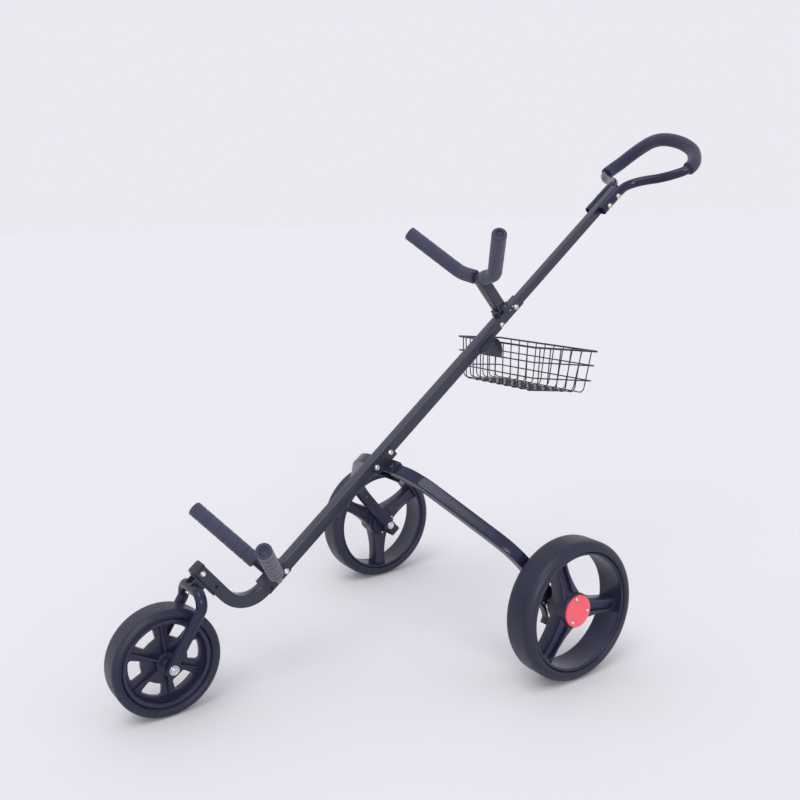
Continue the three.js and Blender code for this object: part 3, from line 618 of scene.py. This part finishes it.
# ---------- cradles ----------
def grooved(path, bore, pitch=0, depth=0.9, fillet=3.2, sides=32):
    """A foam sleeve: rounded ends about an inset bore, and rings pressed in at each pitch."""
    length = path.length
    rows = [(5, bore), (0.0, bore), (0.0, bore + 1.2)]
    for k in range(1, 7):
        t = math.pi / 2 * k / 6
        rows.append((fillet * (1 - math.cos(t)), FOAM_R - fillet * (1 - math.sin(t))))
    count = max(1, round(length / pitch)) if pitch else 0
    grooves = [length * (k + 1) / (count + 1) for k in range(count)]
    body = [(s, FOAM_R) for s in path.along(7) if fillet + 1 < s < length - fillet - 1
            and all(abs(s - g) > GROOVE_HALF + 0.4 for g in grooves)]
    for g in grooves:
        body += [(g + GROOVE_HALF * t, FOAM_R - depth * (math.cos(math.pi * t) + 1) / 2)
                 for t in (-1, -0.7, -0.45, -0.2, 0, 0.2, 0.45, 0.7, 1)]
    rows += sorted(body)
    rows += [(length - s, r) for s, r in rows[8::-1]]
    return Shell().loft([path.ring(s, circle(r, sides)) for s, r in rows])


def plug(path):
    """A plug pushed into the far end of a cradle bar: dished, with a raised ring."""
    p, n, b = path.at(path.length - 1.8)
    t = n.cross(b)
    r = CRADLE_R
    rows = [(r, -4), (r, 0), (r - 0.7, 0.5), (r * 0.72, 0.5), (r * 0.66, -0.6),
            (r * 0.3, -0.9), (r * 0.22, -0.3), (0.01, -0.2)]
    return Shell().loft([[p + t * h + n * u + b * v for u, v in circle(radius, 28)]
                         for radius, h in rows])


def make_lower_cradle():
    y = -332
    for side in SIDES:
        sign = SIGN[side]
        start, tip = Vector((sign * 44.5, y, 28.9)), Vector((sign * 162.5, y, 157.3))
        path = Path([start, tip])
        rod = Path([start.lerp(tip, -0.235), tip])
        piece("cradle_foam_lower_" + side, grooved(path, CRADLE_R + 0.2, 27), SPINE,
                        FOAM, "frame", ["lower_foam_" + side])
        bar = Shell().loft([rod.ring(s, circle(CRADLE_R, 28))
                            for s in (0, 40, 80, rod.length - PLUG_ROOM)])
        piece("cradle_bar_lower_" + side, bar, SPINE, GLOSS, "frame",
              ["lower_cradle_bar_" + side])
        piece("cradle_plug_lower_" + side, plug(path), SPINE, TRIM, "frame",
              ["lower_plug_" + side])


def make_upper_cradle():
    y = 447
    half = [Vector((0, y, 111.4)), Vector((59, y, 126)), Vector((159.5, y, 241.5))]
    for side in SIDES:
        sign = SIGN[side]
        _, knee, tip = (Vector((sign * p.x, p.y, p.z)) for p in half)
        begin = Vector((sign * 14.7, y, 115.04))
        path = Path(bent([begin, knee, tip], [45], 4), side=(0, 1, 0))
        sleeve = grooved(path, CRADLE_R + 0.2, 30, depth=0.6)
        piece("cradle_foam_upper_" + side, sleeve, SPINE, FOAM, "upper_cradle",
                        ["upper_foam_" + side])
        piece("cradle_plug_upper_" + side, plug(path), SPINE, TRIM, "upper_cradle",
              ["upper_plug_" + side])
    half[2] -= (half[2] - half[1]).normalized() * PLUG_ROOM
    points = [Vector((-p.x, p.y, p.z)) for p in half[::-1]] + half[1:]
    path = Path(bent(points, [45, 40, 45], 5), side=(0, 1, 0))
    bar = Shell().loft([path.ring(s, circle(CRADLE_R, 28)) for s in path.along(30)])
    piece("cradle_bar_upper", bar, SPINE, GLOSS, "upper_cradle",
          ["upper_cradle_tube"])

    foot = 18.4
    rows = [(22.5, foot), (24.6, 18.6), (TUBE, 19.6), (TUBE, 60), (TUBE, 98.6),
            (24.8, 100.4), (22.8, 101)]
    post = stack(rows, (0, y, 0), CORNER, 5)
    post.verts = [Vector((p.x, p.y, max(p.z, foot + max(0.0, p.y - y - HALF + 6))))
                  for p in post.verts]  # the foot's rear edge is cut away to clear the fold
    piece("cradle_post", post, SPINE, PAINT, "upper_cradle", ["cradle_stem"])
    rows = [(9.0, -13.6), (12.2, -12.9), (13.2, -11), (13.2, 11), (12.2, 12.9), (9.0, 13.6)]
    weld = Shell().turn(rows, 32, at=(0, y, 106))
    piece("cradle_weld", weld, SPINE, PAINT, "upper_cradle")


# ---------- mast and handle ----------
def catmull(points, steps=6):
    """A centripetal curve through the points."""
    pts = [Vector(p) for p in points]
    pts = [pts[0] * 2 - pts[1]] + pts + [pts[-1] * 2 - pts[-2]]
    path = [pts[1]]
    for p0, p1, p2, p3 in zip(pts, pts[1:], pts[2:], pts[3:]):
        t1 = (p1 - p0).length ** 0.5
        t2 = t1 + (p2 - p1).length ** 0.5
        t3 = t2 + (p3 - p2).length ** 0.5
        for k in range(1, steps + 1):
            t = t1 + (t2 - t1) * k / steps
            a1 = p0.lerp(p1, t / t1)
            a2 = p1.lerp(p2, (t - t1) / (t2 - t1))
            a3 = p2.lerp(p3, (t - t2) / (t3 - t2))
            b1 = a1.lerp(a2, t / t2)
            b2 = a2.lerp(a3, (t - t1) / (t3 - t1))
            path.append(b1.lerp(b2, (t - t1) / (t2 - t1)))
    return path


def open_tube(path, mouth, radius, step):
    """A round tube; mouth is the profile of an open end as (place, radius), from its bore out."""
    rows = [*mouth, (0.5, radius)]
    rows += [(s, radius) for s in path.along(step)[1:-1]]
    rows += [(path.length - s, r) for s, r in rows[len(mouth)::-1]]
    return Shell().loft([path.ring(s, circle(r, 32)) for s, r in rows])


def make_mast():
    section = square(2 * MAST_HALF, 2.1)
    heel = [Vector((u, MAST_LOW + max(0.0, 5 + v) * 0.5, v)) for u, v in section]
    rings = [[Vector((u, y, v)) for u, v in section] for y in (424, 560, 700, MAST_TOP)]
    piece("mast_post", Shell().loft([heel] + rings), SPINE, PAINT, "mast",
          ["mast_tube"])
    rows = [(20.6, 0.1), (20.9, 0.6), (20.7, 2.4), (19.2, 3.2), (16, 3.5)]
    cap = Shell().loft([[Vector((x, MAST_TOP + h, z)) for x, z in square(size, 2.6)]
                        for size, h in rows])
    piece("mast_end_cap", cap, SPINE, TRIM, "mast", ["mast_cap"])

    leg_x = MAST_HALF + GAP + HANDLE_R
    guide = [(leg_x, 885, HANDLE_Z), (24, 908, -0.5), (33, 928, -6.5), (50, 945, -13),
             (78, 962, -21), (108, 980, -26), (129, 1003, -31), (129, 1030, -35),
             (117, 1055, -35), (98, 1078, -30), (68, 1093, -20), (34, 1098, -9), (0, 1098.4, -4)]
    curve = catmull(guide + [(-x, y, z) for x, y, z in guide[-2::-1]])
    leg = [Vector((leg_x, 815, HANDLE_Z)), Vector((leg_x, 850, HANDLE_Z))]
    path = Path(leg + curve + [Vector((-p.x, p.y, p.z)) for p in leg[::-1]])
    mouth = [(4, HANDLE_R - 2), (0.3, HANDLE_R - 2), (0, HANDLE_R - 1.6), (0, HANDLE_R - 0.5)]
    tube = open_tube(path, mouth, HANDLE_R, 14)
    piece("handle_tube", tube, SPINE, GLOSS, "mast", ["handle_loop"])

    covered = [i for i, p in enumerate(curve) if abs(p.x) > 120 and p.y > 1003]
    grip_path = Path(curve[covered[0]:covered[-1] + 1])
    sleeve = grooved(grip_path, HANDLE_R + 0.1, fillet=3.6, sides=36)
    piece("handle_foam", sleeve, SPINE, GRIP, "mast", ["handle_grip"])
    for i, y in enumerate((833, 869), 1):
        bolt(f"handle_through_bolt_{i}", f"handle_bolt_{i}", (0, y, HANDLE_Z),
             MAST_HALF + GAP + 2 * HANDLE_R, "mast", head=6.5, tall=4, nut=BRASSY)


# ---------- basket ----------
def tray_loop(front, rear, y0, y1, z):
    """The middle of a level loop of wire; front and rear are its half widths."""
    corners = [(front, y0), (rear, y1), (-rear, y1), (-front, y0)]
    path = []
    for i, corner in enumerate(corners):
        before, after = corners[i - 1], corners[(i + 1) % 4]
        path += bent([(*before, z), (*corner, z), (*after, z)], [5], 15)[1:-1]
    return path


def wire_run(shell, points, radius, closed=False, sides=10):
    path = Path(points + [points[0]] if closed else points)
    rings = [path.ring(s, circle(radius, sides)) for s in path.along(60)]
    shell.loft(rings[:-1] if closed else rings, closed)


def make_basket():
    depth, inset = 101.6, 2.0
    floor = -depth + inset
    wire, hoop, rim = 1.3, 1.5, 2.2

    def level(t):
        """Half widths, front, rear and height of the basket's inside, from rim 0 to floor 1."""
        def mix(top, low):
            return top + (low - top) * t
        return (mix(134, 129.5) - inset, mix(168.4, 157) - inset,
                mix(0, 10) + inset, mix(158.8, 156) - inset, -depth * t)

    shell = Shell()
    f, r, y0, y1, _ = level(0)
    wire_run(shell, tray_loop(f + 2.5, r + 2.5, y0 - 1.5, y1 + 2.5, -inset), rim, closed=True)
    for t in (0.34, 0.68):
        f, r, y0, y1, z = level(t)
        wire_run(shell, tray_loop(f + 2.6, r + 2.6, y0 - 2.6, y1 + 2.6, z), hoop, closed=True)

    f0, r0, ya0, yb0, _ = level(0)
    f1, r1, ya1, yb1, _ = level(1)
    for k in range(-4, 5):  # wires from front to rear, drawn in at the floor
        x_front, x_rear = k * 27.0, k * 30.5
        pts = [(x_front, ya0, -inset), (x_front * 0.97, ya1, floor),
               (x_rear * 0.89, yb1, floor), (x_rear, yb0, -inset)]
        wire_run(shell, bent(pts, [13, 13], 15), wire)
    for k in range(6):  # wires from side to side, lying on the others
        share = (k + 0.5) / 6
        y_low = ya1 + (yb1 - ya1) * share
        y_top = ya0 + (yb0 - ya0) * share
        x_low = f1 + (r1 - f1) * share
        x_top = f0 + (r0 - f0) * share
        z_low = floor + 2.4
        pts = [(x_top, y_top, -inset), (x_low, y_low, z_low),
               (-x_low, y_low, z_low), (-x_top, y_top, -inset)]
        wire_run(shell, bent(pts, [13, 13], 15), wire)
    piece("wire_basket", shell, BASKET, WIRE, "frame", ["basket"])


# ---------- wheels ----------
def tyre_shell(radius, width, seat, seat_width, shoulder, bead, grooves=()):
    """A tyre with a rounded bead (bead scales its height) and shallow sidewall grooves."""
    w = width / 2
    right = [(seat, 0), (seat, seat_width / 2 - 1), (seat + 0.8 * bead, seat_width / 2),
             (seat + 2.4 * bead, w - 1.5), (seat + 4.5 * bead, w - 0.4), (seat + 6.5 * bead, w)]
    for r in grooves:
        right += [(r - 0.9, w), (r - 0.4, w - 0.45), (r + 0.4, w - 0.45), (r + 0.9, w)]
    for degrees in range(0, 91, 9):
        t = math.radians(degrees)
        right.append((radius - shoulder * (1 - math.sin(t)), w - shoulder * (1 - math.cos(t))))
    right.append((radius, 0))
    right = [row for i, row in enumerate(right) if i == 0 or row != right[i - 1]]
    left = [(r, -x) for r, x in right[1:-1]][::-1]
    return Shell().turn(right + left, 128, closed=True)


def smooth(x):
    """Eases from 0 to 1 as x does."""
    x = min(max(x, 0.0), 1.0)
    return x * x * (3 - 2 * x)


def curve_between(start, pull, stop, t):
    """A value that runs from start to stop as t goes from 0 to 1, bent towards pull."""
    return (1 - t) ** 2 * start + 2 * t * (1 - t) * pull + t * t * stop


def rear_spoke(shell, turn):
    """One deep spoke: two ribs round a channel on its face, closed by a round end at the rim."""
    face, back = 15.2, -18.0
    steps = 40
    rings = []
    for k in range(steps + 1):
        t = k / steps
        r = curve_between(24, 72, 118.5, t)
        w = curve_between(25, 9.5, 16.5, t)
        end = min(max((r - 102) / 7, 0.0), 1.0)
        c = 6.0 * math.sqrt(1 - end * end)  # the channel's half width
        depth = 7 * smooth((r - 36) / 6) * smooth(c / 2.5)
        lip = 1.4 * smooth((r - 36) / 6) * (1.0 if r < 109 else smooth((112 - r) / 3))
        half = [(w, face - 3.0), (w - 0.8, face - 1.0), (w - 2.2, face - 0.4),
                (c + 3.2, face - 0.2), (c + 2.6, face + lip), (c + 1.0, face + lip),
                (c + 0.4, face - 0.4), (c, face - depth), (0.0, face - depth)]
        front = half + [(-u, x) for u, x in half[-2::-1]]
        slope = 2.5 * smooth((r - 40) / 20) * smooth((117 - r) / 12)
        under = [(w, back + 3.0), (w - 0.8, back + 1.0), (w - 2.2, back), (w - 5.5, back),
                 (w - 7.5, back + slope), (0.0, back + slope)]
        rear = [(-u, x) for u, x in under] + [(u, x) for u, x in under[-2::-1]]
        rings.append([(x, r, u) for u, x in front + rear])
    spin = Matrix.Rotation(math.radians(turn), 4, "X")
    shell.loft([[spin @ Vector(p) for p in ring] for ring in rings])


def make_rear_wheel(side):
    place, body = WHEEL[side], side + "_wheel"
    tyre = tyre_shell(radius=145, width=70.6, seat=122.8, seat_width=62, shoulder=16.7,
                      bead=0.55)
    piece("tyre_rear_" + side, tyre, place, TYRE, body, ["rear_tyre_" + side], 60)
    rim = Shell()
    half = [(117.5, 0), (117.5, 24), (116.9, 26.5), (116.9, 29.8), (117.6, 31), (120.6, 31),
            (121.8, 30.2), (121.8, 27.5), (122.5, 27), (122.5, 0)]
    rim.turn(half + [(r, -x) for r, x in half[-2:0:-1]], 128, closed=True)
    first_spoke = {"left": -10, "right": 32}[side]
    for step in (0, 120, 240):
        rear_spoke(rim, first_spoke + step)
    hub = [(8.8, -30), (27, -30), (27.6, -29), (27.6, -26), (34.6, -25), (36, -23.4), (36, 17.5),
           (35.2, 18.6), (35.2, 20.9), (34.4, HUB_FACE), (31, HUB_FACE), (30.4, 21.0), (30.4, 14),
           (14, 13.7), (8.8, 13.7)]
    rim.turn(hub, 96, closed=True)
    piece("wheel_rear_" + side, rim, place, RIM, body, ["rear_rim_" + side], 32)
    rows = [(22, -29.4), (22, -32.6), (31.4, -32.6, "teeth"), (32.6, -31.8, "teeth"),
            (32.6, -26.2, "teeth"), (22, -26.2)]
    teeth = Shell().turn(rows, 144, closed=True)
    piece("brake_ring_" + side, teeth, place, TRIM, body)
    cap = Shell().turn([(0, 22), (33.3, 22), (33.3, 24.0), (32.9, 24.7), (32.1, 25), (30.6, 25),
                        (30.0, 24.5), (20.5, 24.1), (19.9, 24.6), (18.6, 24.6), (18.0, 24.1),
                        (0, 23.9)], 96)
    piece("cap_disc_" + side, cap, place, RED, body, ["hub_cap_" + side], 30)
    screws = Shell()
    for degrees in (100, -11, -125):
        rows = [(0, 25.0), (1.3, 25.0, "hex"), (1.5, 26.2, "hex"), (2.3, 26.5), (3.4, 25.9),
                (3.9, 24.8), (3.9, 23.9), (0, 23.9)]
        screws.turn(rows, 30, at=(0, *polar(26.2, degrees)), angle=0.4)
    piece("cap_screws_" + side, screws, place, ZINC, body)
    ends = Shell()
    for degrees in (40, 160, 280):
        rows = [(0, -35.2), (2.2, -35), (2.7, -34.2), (2.7, -31), (0, -31)]
        ends.turn(rows, 20, at=(0, *polar(27.5, degrees)))
    piece("cap_screw_ends_" + side, ends, place, ZINC, body)


def window_loop(middle_deg, r_in, r_out, half_in, half_out):
    """A window between two ribs, with round corners; the halves are angles in degrees."""
    ring = [polar(r_out, middle_deg + half_out), polar(r_out + 1.2, middle_deg),
            polar(r_out, middle_deg - half_out), polar(r_in, middle_deg - half_in),
            polar(r_in - 0.8, middle_deg), polar(r_in, middle_deg + half_in)]
    corner_out, corner_in = 5.5, 5.5 * 0.8
    radii = [corner_out, 70, corner_out, corner_in, 30, corner_in]
    loop = []
    for i, p in enumerate(ring):
        before, after = ring[i - 1], ring[(i + 1) % 6]
        turn = bent([(*before, 0), (*p, 0), (*after, 0)], [radii[i]], 12)[1:-1]
        loop += [(q.x, q.y) for q in turn]
    return loop


def front_rib(rim, degrees, face):
    """A tall rib along one spoke, tapering from the hub to the rim."""
    spin = Matrix.Rotation(math.radians(degrees), 4, "X")
    rows = []
    for step in range(13):
        t = step / 12
        r = 17 + (79 - 17) * t
        tall = 20 - 11 * smooth(t * 1.1)
        wide = 2.4 - 0.8 * t
        rows.append([spin @ Vector((x * face, r, u)) for u, x in
                     [(-wide - 0.4, 4.2), (-wide, tall - 1.2), (-wide + 0.7, tall),
                      (wide - 0.7, tall), (wide, tall - 1.2), (wide + 0.4, 4.2)]])
    rim.loft(rows)


def make_front_wheel():
    tyre = tyre_shell(radius=107.4, width=60, seat=88.3, seat_width=46, shoulder=11,
                      bead=1.0, grooves=(94.6,))
    piece("tyre_front", tyre, FRONT, TYRE, "front_wheel", ["front_tyre"], 60)
    rim = Shell()
    half = [(80.4, 5), (80.4, 17), (79.4, 18.5), (79.4, 21.8), (80.4, 23), (86.4, 23),
            (87.4, 22), (87.4, 20), (88, 19.5), (88, 0)]
    rim.turn(half + [(r, -x) for r, x in half[-2::-1]], 112, closed=True)
    spokes = [33 + 60 * i for i in range(6)]
    outline = [polar(82.5, 360 * k / 96) for k in range(96)]
    windows = [window_loop(spoke + 30, 47, 71.5, 16.5, 18.5) for spoke in spokes]
    rim.add(*slab([outline] + windows, 10, 1.0, FACING_X))
    disc = 4.4
    for face in (1, -1):
        for inner, outer, tall in ((75.5, 77.6, 2.6), (78.4, 80.6, 5.2)):
            rows = [(inner, disc), (inner, disc + tall - 0.7), (inner + 0.6, disc + tall),
                    (outer - 0.6, disc + tall), (outer, disc + tall - 0.7), (outer, disc)]
            rim.turn([(r, face * x) for r, x in rows], 96, closed=True)
        for spoke in spokes:
            front_rib(rim, spoke, face)
    rim.turn([(8.4, -22), (19.6, -22), (20.6, -21), (21.6, -5), (21.6, 5), (20.6, 21),
              (19.6, 22), (8.4, 22)], 72, closed=True)
    piece("wheel_front", rim, FRONT, RIM, "front_wheel", ["front_rim"], 32)


# ---------- front fork ----------
def make_fork():
    leg = [(FORK_X, -8, -12), (FORK_X, 66, 100), (44, 67, 128)]
    points = leg + [(-x, y, z) for x, y, z in leg[::-1]]
    path = Path(bent(points, [24, 22, 22, 24], 4))
    tube = open_tube(path, [(4, 9.2), (0.4, 9.2), (0, 9.6), (0, 10.5)], FORK_R, 20)
    piece("fork_tube", tube, FRONT, GLOSS, "frame", ["front_fork"])
    end = FORK_X + FORK_R + GAP
    rows = [(0, end + 2), (4, end + 2, "hex"), (4.2, end + 5.6, "hex"), (5.8, end + 6),
            (7.4, end + 4.8), (8, end + 3), (8, end + 1.3), (9.6, end + 1.2), (9.6, end),
            (5, end), (5, -end), (9.6, -end), (9.6, -end - 1.2), (8.2, -end - 1.3),
            (8.2, -end - 1.4, "hex"), (8.2, -end - 5, "hex"), (7, -end - 6), (0, -end - 6)]
    axle = Shell().turn(rows, 36)
    piece("front_axle_bolt", axle, FRONT, ZINC, "frame", ["front_axle"], 30)
    rows = [(5.4, 22.4), (9.6, 22.4), (9.8, 23.2), (9.8, 25), (8.2, 26.2), (8.2, 32),
            (8.8, 32.8), (8.8, 33.6), (5.4, 33.6)]
    for side in SIDES:
        spacer = Shell().turn([(r, SIGN[side] * x) for r, x in rows], 40, closed=True)
        piece("axle_spacer_" + side, spacer, FRONT, TRIM, "frame",
              ["front_spacer_" + side])


# ---------- parking brake ----------
def make_brake():
    outline = [(-18.5, -324), (-26, -324), (-26, -338), (-31, -357), (-35, -367.5), (-47, -374),
               (-46, -378), (-32, -372), (-27, -360), (-18.5, -338)]
    pedal = Shell().add(*slab([outline], 16, 0.9, Matrix.Translation((ARM_X, 0, 0)) @ FACING_X))
    piece("brake_pedal", pedal, SPINE, STEEL, "brake", ["brake_lever"])
    y, z = -22, -330
    rows = [(0, -14.4), (3.2, -14), (3.5, -11.4), (2, -11.3), (2, 11.3), (3.5, 11.4), (3.2, 14),
            (0, 14.4)]
    pin = Shell().turn(rows, 24, at=(ARM_X, y, z))
    piece("brake_hinge_pin", pin, SPINE, ZINC, "left_arm", ["brake_pin"])
    coil = [Vector((ARM_X - 12.5, -14, -318))]
    for k in range(91):
        t = k / 90
        turn = 9 * math.pi * t
        coil.append(Vector((ARM_X - 12.5 - 4.5 * t, y + 4.2 * math.cos(turn),
                            z + 4.2 * math.sin(turn))))
    coil.append(Vector((ARM_X - 17, -30, -352)))
    spring = Shell()
    wire_run(spring, coil, 0.75, sides=8)
    piece("brake_spring", spring, SPINE, ZINC, "left_arm")


# ---------- CAD plates that keep their own shape ----------
def finish_plates():
    for name in ("fork_plate", "arm_bracket", "arm_housing", "lower_cradle_bracket", "stem_foot",
                 "basket_saddle", "basket_hanger", "brake_bracket", "front_bush",
                 "rear_bush_left", "rear_bush_right"):
        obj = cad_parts[name]
        obj.data.materials.clear()
        obj.data.materials.append(ZINC if "bush" in name else STEEL)


# ---------- room ----------
def soft_sun(name, toward, strength, spread):
    """A wide lamp far away, shining towards the given direction."""
    data = bpy.data.lights.new(name, "SUN")
    data.energy = strength
    data.angle = math.radians(spread)
    obj = bpy.data.objects.new(name, data)
    obj.rotation_mode = "QUATERNION"
    obj.rotation_quaternion = Vector(toward).to_track_quat("-Z", "Y")
    bpy.context.scene.collection.objects.link(obj)


def make_room():
    """A pale floor that runs into a pale surround of the same brightness."""
    mesh = bpy.data.meshes.new("floor")
    reach = 60.0
    corners = [(-reach, -reach, 0), (reach, -reach, 0), (reach, reach, 0), (-reach, reach, 0)]
    mesh.from_pydata(corners, [], [(0, 1, 2, 3)])
    floor = bpy.data.objects.new("floor", mesh)
    mat, nodes, links, shader = node_material("floor_pale", (0.728, 0.723, 0.741), 0.75)
    cloud = noise(nodes, links, 1.3)
    links.new(tint(nodes, links, cloud, (0.723, 0.718, 0.736), (0.733, 0.728, 0.746)),
              shader.inputs["Base Color"])
    shader.inputs["Specular IOR Level"].default_value = 0.15
    mesh.materials.append(mat)
    bpy.context.scene.collection.objects.link(floor)
    world = bpy.data.worlds.new("studio")
    world.use_nodes = True
    back = world.node_tree.nodes["Background"]
    back.inputs["Color"].default_value = (0.835, 0.82, 0.88, 1)
    back.inputs["Strength"].default_value = 1.0
    bpy.context.scene.world = world
    soft_sun("key", (-0.25, 0.45, -1.0), 0.8, 34)
    soft_sun("fill", (-1.0, 0.35, -0.40), 0.9, 20)
    bpy.context.scene.view_settings.view_transform = "Standard"


make_camera()
make_spine()
make_arms()
make_lower_cradle()
make_upper_cradle()
make_mast()
make_basket()
for wheel_side in SIDES:
    make_rear_wheel(wheel_side)
make_front_wheel()
make_fork()
make_brake()
finish_plates()
make_room()

bpy.context.view_layer.update()
